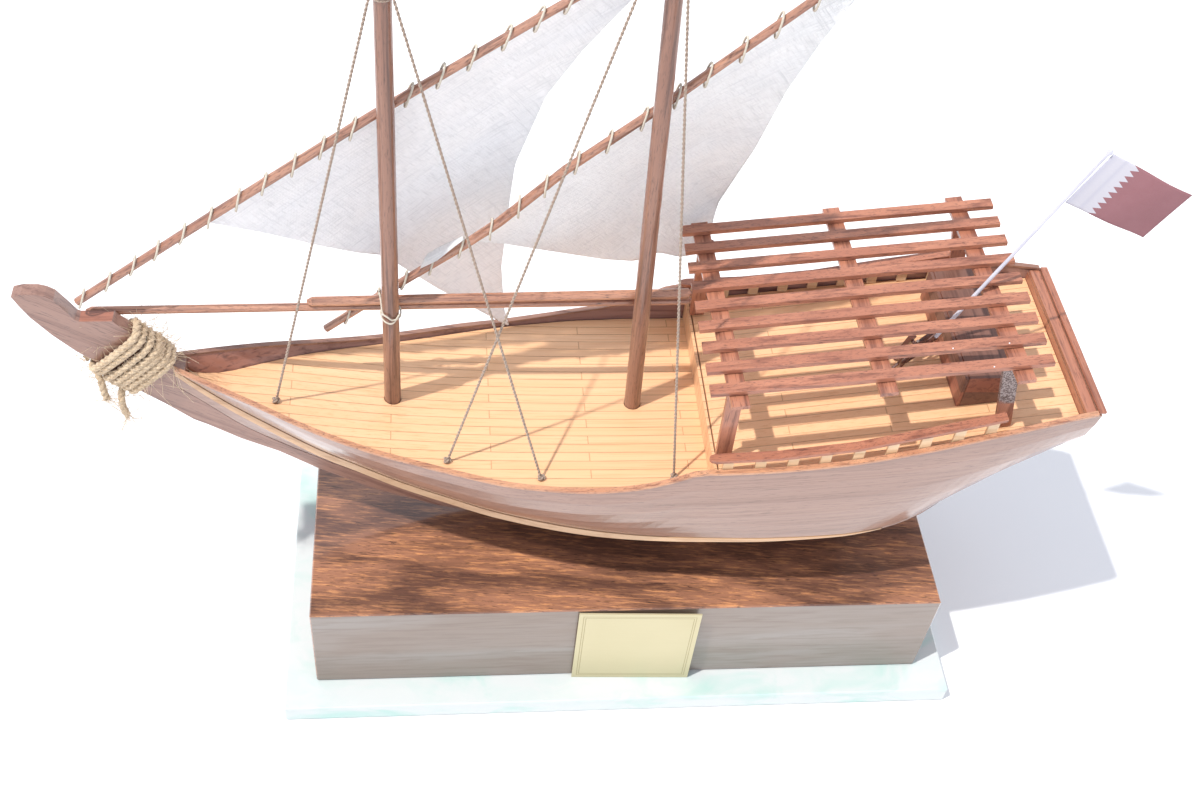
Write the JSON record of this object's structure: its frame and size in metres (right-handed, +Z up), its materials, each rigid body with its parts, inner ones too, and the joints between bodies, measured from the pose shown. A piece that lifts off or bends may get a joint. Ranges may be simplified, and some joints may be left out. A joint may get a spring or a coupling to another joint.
{
  "type": "display model of a two-masted dhow",
  "caption": "Wooden display model of a lateen-rigged dhow with slatted stern roof, on a varnished block with a blank plate and a pale slab.",
  "frame": {"origin": "middle of the underside of the pale slab that it stands on", "axes": "+Z up, -X towards the bow, +X towards the stern, +Y towards starboard; port side is -Y"},
  "size_m": [0.6246, 0.2, 0.555],
  "materials": {
    "slab_stone": "satin, white with faint green clouds",
    "block_wood": "gloss varnish",
    "hull_wood": "satin varnish",
    "red_wood": "satin varnish",
    "deck_wood": "clear varnish",
    "pale_wood": "clear varnish",
    "dark_wood": "gloss varnish",
    "brass": "brushed, blank",
    "sail_cloth": "plain weave cotton",
    "flag_cloth": "printed, white with a serrated edge to maroon",
    "white_plastic": "gloss",
    "jute": "laid rope",
    "cord": "twisted twine"
  },
  "bodies": {
    "boat": {"base_slab": "slab_stone", "bench": "dark_wood", "bench_front_board": "red_wood", "flag": "flag_cloth", "flag_staff": "white_plastic", "gunwale_cap_port": "red_wood", "gunwale_cap_starboard": "red_wood", "hull": "hull_wood", "long_spar": "red_wood", "main_deck": "deck_wood", "mast_aft": "red_wood", "mast_fore": "red_wood", "name_plate": "brass", "plinth_block": "block_wood", "poop_deck": "deck_wood", "poop_front_board": "deck_wood", "roof_beam_1": "red_wood", "roof_beam_2": "red_wood", "roof_beam_3": "red_wood", "roof_post_aft_port": "red_wood", "roof_post_aft_starboard": "red_wood", "roof_post_fore_port": "red_wood", "roof_post_fore_starboard": "red_wood", "roof_slat_1": "red_wood", "roof_slat_2": "red_wood", "roof_slat_3": "red_wood", "roof_slat_4": "red_wood", "roof_slat_5": "red_wood", "roof_slat_6": "red_wood", "roof_slat_7": "red_wood", "roof_slat_8": "red_wood", "roof_slat_9": "red_wood", "sail_aft": "sail_cloth", "sail_fore": "sail_cloth", "short_spar": "red_wood", "shroud_aft_1": "cord", "shroud_aft_2": "cord", "shroud_fore_1": "cord", "shroud_fore_2": "cord", "side_rail_port": "red_wood", "side_rail_starboard": "red_wood", "stem_keel_board": "red_wood", "stem_lashing": "jute", "stem_rope_end_1": "jute", "stem_rope_end_2": "jute", "strake_port": "pale_wood", "strake_starboard": "pale_wood", "transom_ledge": "red_wood", "transom_rail": "red_wood", "wheel_stand": "red_wood", "yard_aft": "red_wood", "yard_fore": "red_wood"},
    "wheel": {"steering_wheel": "dark_wood"},
    "rudder_blade": {"rudder": "red_wood"}
  },
  "joints": [
    {"name": "steering_wheel_turn", "type": "hinge", "parent": "boat", "child": "wheel", "pos_m": [0.1608, -0.0056, 0.249], "axis": [0.5485, -0.7965, -0.2545], "continuous": true},
    {"name": "rudder_swing", "type": "hinge", "parent": "boat", "child": "rudder_blade", "pos_m": [0.1838, 0, 0.10885], "axis": [0.5971, 0, 0.8022], "range_deg": [-30, 30]}
  ]
}
